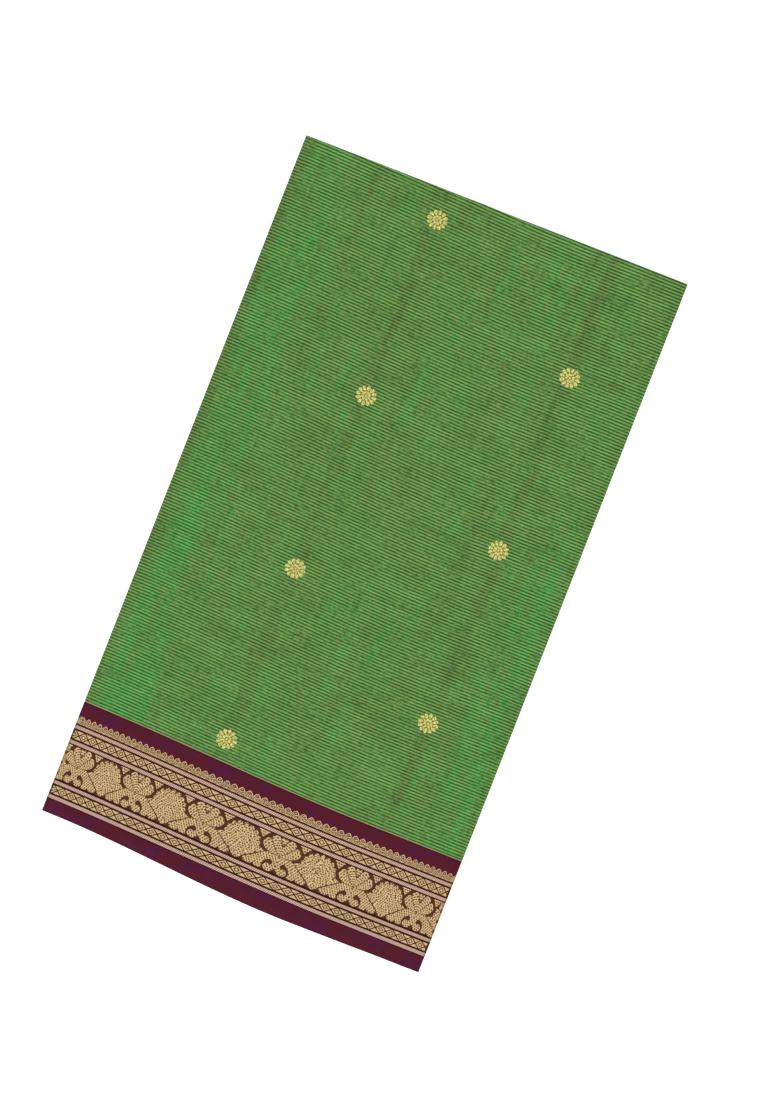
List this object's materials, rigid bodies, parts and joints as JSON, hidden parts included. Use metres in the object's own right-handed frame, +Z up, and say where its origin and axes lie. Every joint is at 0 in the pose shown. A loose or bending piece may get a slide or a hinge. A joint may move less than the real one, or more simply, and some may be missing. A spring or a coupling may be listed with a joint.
{
  "type": "folded cotton sari",
  "caption": "A long cotton sari folded into a flat rectangular packet, doubled along its length and laid back and forth in panels.",
  "frame": {"origin": "middle of the packet's footprint, on the surface it lies on", "axes": "+X across the packet from fold to fold, +Y along it from the selvedges to the crest fold, +Z up through the layers"},
  "size_m": [0.34, 0.6133, 0.0215],
  "materials": {
    "green_cotton": "fine ribbed cotton, shot green over brown, matt",
    "maroon_border": "plain-woven maroon cotton, matt",
    "zari": "woven gold thread with a soft sheen"
  },
  "bodies": {
    "root": {"sari_cloth": "green_cotton"}
  },
  "joints": []
}
